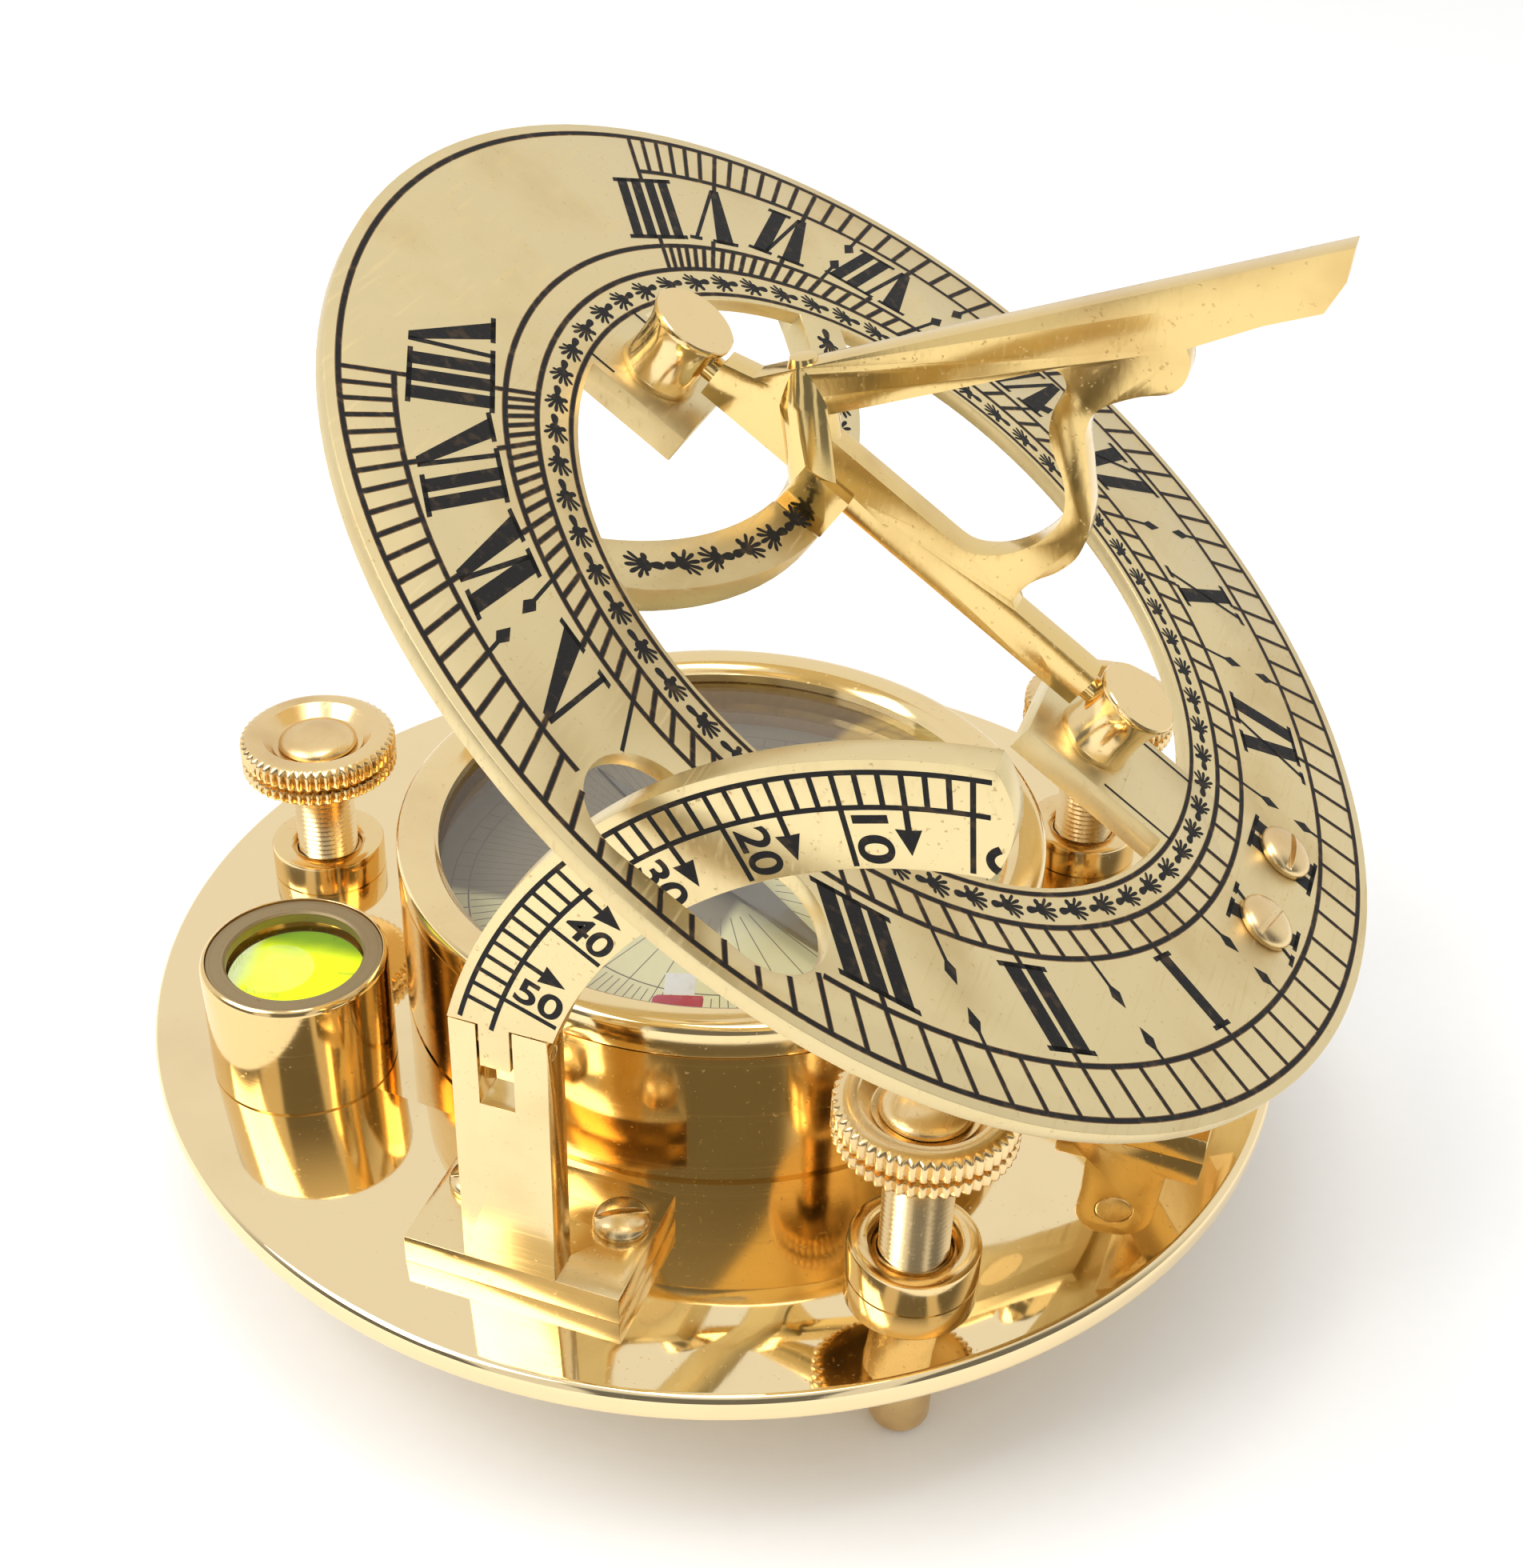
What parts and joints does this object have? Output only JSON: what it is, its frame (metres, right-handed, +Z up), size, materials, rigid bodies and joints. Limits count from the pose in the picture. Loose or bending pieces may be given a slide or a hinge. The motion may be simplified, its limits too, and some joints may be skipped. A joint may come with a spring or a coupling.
{
  "type": "sundial compass",
  "caption": "Brass inclining sundial: an engraved hour ring with a folding gnomon, hinged over a compass on a round base with levelling screws and a bull's-eye level.",
  "frame": {"origin": "centre of the round base, in the plane of the foot tips", "axes": "+Z up; +X towards noon on the base, where the hour ring is hinged; -Y is the afternoon side, with the latitude arc"},
  "size_m": [0.1204, 0.115, 0.1059],
  "materials": {
    "base_brass": "polished",
    "screw_brass": "turned and knurled",
    "level_brass": "polished",
    "level_glass": "clear",
    "level_fluid": "clear yellow-green liquid",
    "bubble": "air",
    "case_brass": "polished",
    "compass_glass": "clear",
    "card": "printed card with fine rays",
    "needle_steel": "polished",
    "hinge_brass": "polished",
    "ring_brass": "engraved and black filled",
    "gnomon_brass": "cast and polished",
    "arc_brass": "engraved and black filled",
    "fastener_brass": "turned"
  },
  "bodies": {
    "base": {"base_plate": "base_brass", "foot_bushes": "screw_brass", "level_cup": "level_brass", "level_ring": "level_brass", "level_glass": "level_glass", "level_fluid": "level_fluid", "level_bubble": "bubble", "level_screw": "fastener_brass", "compass_case": "case_brass", "compass_bezel": "case_brass", "compass_glass": "compass_glass", "compass_card": "card", "pivot_pin": "needle_steel", "compass_screws": "fastener_brass", "hinge_block": "hinge_brass", "hinge_block_screws": "fastener_brass", "hinge_pin": "fastener_brass", "arc_bracket": "hinge_brass", "bracket_screws": "fastener_brass", "arc_pin": "fastener_brass"},
    "hour_plate": {"hour_ring": "ring_brass", "ring_screws": "fastener_brass", "hinge_leaf": "hinge_brass", "noon_stud": "gnomon_brass", "midnight_stud": "gnomon_brass"},
    "gnomon_leaf": {"gnomon": "gnomon_brass"},
    "scale_arc": {"latitude_arc": "arc_brass"},
    "needle": {"compass_needle": "needle_steel", "needle_cap": "fastener_brass"},
    "front_shank": {"foot_shank_front": "screw_brass"},
    "front_head": {"foot_head_front": "screw_brass"},
    "back_shank": {"foot_shank_back": "screw_brass"},
    "back_head": {"foot_head_back": "screw_brass"},
    "left_shank": {"foot_shank_left": "screw_brass"},
    "left_head": {"foot_head_left": "screw_brass"}
  },
  "joints": [
    {"name": "ring_tilt", "type": "hinge", "parent": "base", "child": "hour_plate", "pos_m": [0.046, 0, 0.0292], "axis": [0, 1, 0], "range_deg": [-33.7, 26.2]},
    {"name": "gnomon_fold", "type": "hinge", "parent": "hour_plate", "child": "gnomon_leaf", "pos_m": [0.01863, 0, 0.07269], "axis": [0.832, 0, -0.5548], "range_deg": [-88, 88]},
    {"name": "arc_fold", "type": "hinge", "parent": "base", "child": "scale_arc", "pos_m": [-0.001, -0.0479, 0.04815], "axis": [1, 0, 0], "range_deg": [0, 2.5]},
    {"name": "needle_turn", "type": "hinge", "parent": "base", "child": "needle", "pos_m": [0, 0, 0.03], "axis": [0, 0, 1], "continuous": true},
    {"name": "front_foot_travel", "type": "slide", "parent": "base", "child": "front_shank", "axis": [0, 0, 1], "range_m": [-0.00182, 0.00182]},
    {"name": "front_head_turn", "type": "hinge", "parent": "front_shank", "child": "front_head", "pos_m": [0.03087, -0.03369, 0.035], "axis": [0, 0, 1], "range_deg": [-1080, 1080]},
    {"name": "back_foot_travel", "type": "slide", "parent": "base", "child": "back_shank", "axis": [0, 0, 1], "range_m": [-0.00182, 0.00182]},
    {"name": "back_head_turn", "type": "hinge", "parent": "back_shank", "child": "back_head", "pos_m": [0.03087, 0.03369, 0.035], "axis": [0, 0, 1], "range_deg": [-1080, 1080]},
    {"name": "left_foot_travel", "type": "slide", "parent": "base", "child": "left_shank", "axis": [0, 0, 1], "range_m": [-0.00182, 0.00182]},
    {"name": "left_head_turn", "type": "hinge", "parent": "left_shank", "child": "left_head", "pos_m": [-0.0457, 0, 0.035], "axis": [0, 0, 1], "range_deg": [-1080, 1080]}
  ],
  "couplings": [
    {"joint": "front_foot_travel", "follows": "front_head_turn", "m_per_rad": 0.000095493},
    {"joint": "back_foot_travel", "follows": "back_head_turn", "m_per_rad": 0.000095493},
    {"joint": "left_foot_travel", "follows": "left_head_turn", "m_per_rad": 0.000095493}
  ]
}
